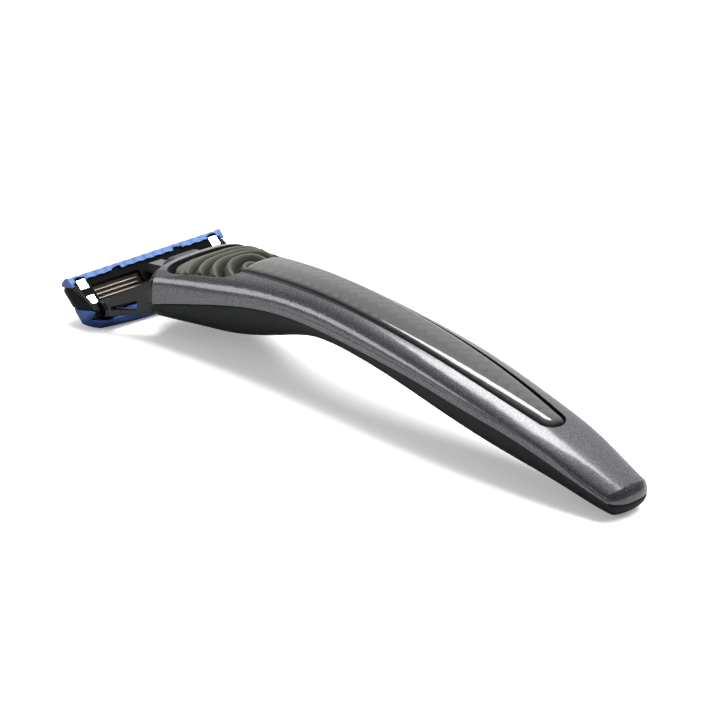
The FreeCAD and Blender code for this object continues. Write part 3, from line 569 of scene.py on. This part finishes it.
def inlay_crown():
    """A function that gives the height of the CAD inlay's top over a place x in metres."""
    mesh = nodes["top_inlay"].data
    tree = BVHTree.FromPolygons([v.co for v in mesh.vertices], [p.vertices for p in mesh.polygons])
    low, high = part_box("top_inlay")
    first, last = low.x + INLAY_INSET_MM * MM, high.x - INLAY_INSET_MM * MM

    def height(x):
        above = Vector((min(max(x, first), last), 0.0, 1.0))
        return tree.ray_cast(above, Vector((0, 0, -1)))[0].z

    return height


def inlay_rings():
    """Rings of points over the inlay's top, from its rim over the rounded shoulder to the middle line."""
    crown = inlay_crown()
    outline = inlay_outline()
    xs, halves = zip(*INLAY_SIDE_MM)
    rings = []
    for ring in range(len(SHOULDER_STEPS) + CROWN_STEPS):
        row = []
        for x, y, middle in outline:
            along = min(max((x - xs[0]) / (xs[-1] - xs[0]), 0.0), 1.0)
            sizes = (INLAY_WIDE_MM, INLAY_DEEP_MM, INLAY_SAG_MM)
            wide, deep, sag = (front + (tail - front) * along for front, tail in sizes)
            length = math.hypot(x - middle, y)
            wide = min(wide, length * SHOULDER_LIMIT)
            if ring < len(SHOULDER_STEPS):
                inward = wide * SHOULDER_STEPS[ring]
            else:
                inward = wide + (length - wide) * (ring - len(SHOULDER_STEPS) + 1) / CROWN_STEPS
            keep = 1.0 - inward / length
            px = middle + (x - middle) * keep
            py = y * keep
            drop = sag * (py / np.interp(px, xs, halves)) ** 2
            if inward < wide:
                drop += deep * (1.0 - math.sqrt(1.0 - (1.0 - inward / wide) ** 2))
            place = (px - CAD_ORIGIN_MM) * MM
            row.append((place, py * MM, crown(place) - drop * MM))
        rings.append(row)
    return rings


def lowered(row, depth_mm):
    return [(x, y, z - depth_mm * MM) for x, y, z in row]


def make_inlay():
    """The carbon inlay: a plate that follows the handle's crown, with shoulders that widen to its tail."""
    rings = inlay_rings()
    rings = [lowered(rings[-1], INLAY_THICK_MM), lowered(rings[0], INLAY_WALL_MM)] + rings
    count = len(rings[0])
    faces = []
    for ring in range(len(rings) - 1):
        a, b = ring * count, (ring + 1) * count
        for i in range(count):
            j = (i + 1) % count
            faces.append((a + i, a + j, b + j, b + i))
    mesh = bpy.data.meshes.new("inlay_plate")
    mesh.from_pydata([point for row in rings for point in row], [], faces)
    inlay = link(bpy.data.objects.new("inlay_plate", mesh))
    weld(inlay, INLAY_WELD_MM)
    apply_modifiers(inlay)
    inlay.data.set_sharp_from_angle(angle=math.radians(INLAY_CREASE))
    stand_for(inlay, "top_inlay")


# ---- studio ----

def make_floor():
    """A white floor that is grey to every ray but the camera's, so it is darker in reflections and bounced
    light, and that glows faintly for the camera as painted light that keeps its shadow pale.
    """
    mesh = bpy.data.meshes.new("floor")
    h = FLOOR_HALF
    mesh.from_pydata([(-h, -h, 0), (h, -h, 0), (h, h, 0), (-h, h, 0)], [], [(0, 1, 2, 3)])
    floor = link(bpy.data.objects.new("floor", mesh))
    card = Finish("floor_card", (0.92, 0.92, 0.92), 0.6, specular=0.1)
    grain = card.blend(card.noise(0.01), (0.915, 0.915, 0.915), (0.925, 0.925, 0.925))
    seen = card.node("ShaderNodeLightPath").outputs["Is Camera Ray"]
    # grey to reflections and bounced light, white to the camera
    card.set("Base Color", card.blend(seen, (0.45, 0.45, 0.45), grain))
    # painted light: the floor glows for camera rays only, which lifts its shadow
    card.set("Emission Color", (1.0, 1.0, 1.0, 1.0))
    card.set("Emission Strength", card.math("MULTIPLY", seen, SHADOW_FILL))
    floor.data.materials.append(card.material)


def make_light(name, place, target, size, power, reflected=True):
    """A soft box that points at its target; one that isn't reflected lights the razor without glare."""
    data = bpy.data.lights.new(name, "AREA")
    data.shape = "RECTANGLE"
    data.size, data.size_y = size
    data.energy = power
    light = link(bpy.data.objects.new(name, data))
    light.location = place
    direction = Vector(target) - Vector(place)
    light.rotation_euler = direction.to_track_quat("-Z", "Y").to_euler()
    light.visible_glossy = reflected
    return light


def light_only(light, receivers):
    """Lets a light fall on nothing but the receivers."""
    group = bpy.data.collections.new(light.name + "_receivers")
    for receiver in receivers:
        group.objects.link(receiver)
    light.light_linking.receiver_collection = group


def make_lights(comb):
    """The main light, two boxes that draw the handle's highlights, and one that brightens the cartridge."""
    middle = (0.03, 0, 0.01)
    make_light("key", (0.0, 0.45, 0.8), (0, 0, 0), size=(1.2, 0.7), power=20.0, reflected=False)
    make_light("top_box", (-0.17, 0.15, 0.56), middle, size=(0.36, 0.16), power=1.55)
    make_light("left_box", (-0.42, -0.43, 0.23), middle, size=(0.4, 0.2), power=1.0)
    clip_box = make_light("clip_box", (0.28, 0.48, 0.56), (-0.06, 0, 0.01), size=(0.3, 0.3), power=4.0)
    steel = [node for name, node in nodes.items() if name.startswith(("blade_", "clip_"))]
    light_only(clip_box, [comb] + steel)


def world_glow(tree, direction, edge, weight, base):
    """Base, plus a weight that fades in towards the direction, between the two cosines of the edge."""
    dot = tree.nodes.new("ShaderNodeVectorMath")
    dot.operation = "DOT_PRODUCT"
    tree.links.new(tree.nodes["place"].outputs["Generated"], dot.inputs[0])
    dot.inputs[1].default_value = direction
    step = tree.nodes.new("ShaderNodeMapRange")
    step.interpolation_type = "SMOOTHSTEP"
    tree.links.new(dot.outputs["Value"], step.inputs["Value"])
    step.inputs["From Min"].default_value, step.inputs["From Max"].default_value = edge
    total = tree.nodes.new("ShaderNodeMath")
    total.operation = "MULTIPLY_ADD"
    tree.links.new(step.outputs["Result"], total.inputs[0])
    total.inputs[1].default_value = weight
    if isinstance(base, bpy.types.NodeSocket):
        tree.links.new(base, total.inputs[2])
    else:
        total.inputs[2].default_value = base
    return total.outputs[0]


def make_world():
    """A pale sweep behind the razor, a light ceiling and a darker room round the camera."""
    world = bpy.data.worlds.new("studio")
    world.use_nodes = True
    tree = world.node_tree
    tree.nodes.new("ShaderNodeTexCoord").name = "place"
    level = world_glow(tree, AWAY, SWEEP_EDGE, BACKDROP_LEVEL, ROOM_LEVEL)
    level = world_glow(tree, UP, CEILING_EDGE, CEILING_LEVEL, level)
    background = tree.nodes["Background"]
    tree.links.new(level, background.inputs["Strength"])
    background.inputs["Color"].default_value = (1.0, 1.0, 1.0, 1.0)
    bpy.context.scene.world = world


def make_camera():
    azimuth = math.radians(CAMERA_AZIMUTH)
    elevation = math.radians(CAMERA_ELEVATION)
    back = Vector((math.sin(azimuth) * math.cos(elevation),
                   -math.cos(azimuth) * math.cos(elevation),
                   math.sin(elevation)))
    right = Vector((math.cos(azimuth), math.sin(azimuth), 0.0))
    up = back.cross(right)
    matrix = Matrix((right, up, back)).transposed().to_4x4()
    matrix.translation = Vector(CAMERA_TARGET) + CAMERA_DISTANCE * back
    data = bpy.data.cameras.new("photo_camera")
    data.lens = CAMERA_LENS_MM
    data.sensor_width = SENSOR_MM
    data.clip_start = CAMERA_CLIP_START
    camera = link(bpy.data.objects.new("photo_camera", data))
    camera.matrix_world = matrix
    bpy.context.scene.camera = camera


make_materials()
for node_name, slot_name in SLOTS.items():
    paint(nodes[node_name], slot_name)

make_button()
make_inlay()
make_spring("button_spring", "button_slide")
make_spring("plunger_spring", "plunger_slide")
for moulding in MOULDED:
    moulded(*moulding)
comb = make_comb()

make_floor()
make_world()
make_camera()
make_lights(comb)
bpy.context.scene.view_settings.view_transform = "Standard"
bpy.context.scene.view_settings.look = "None"
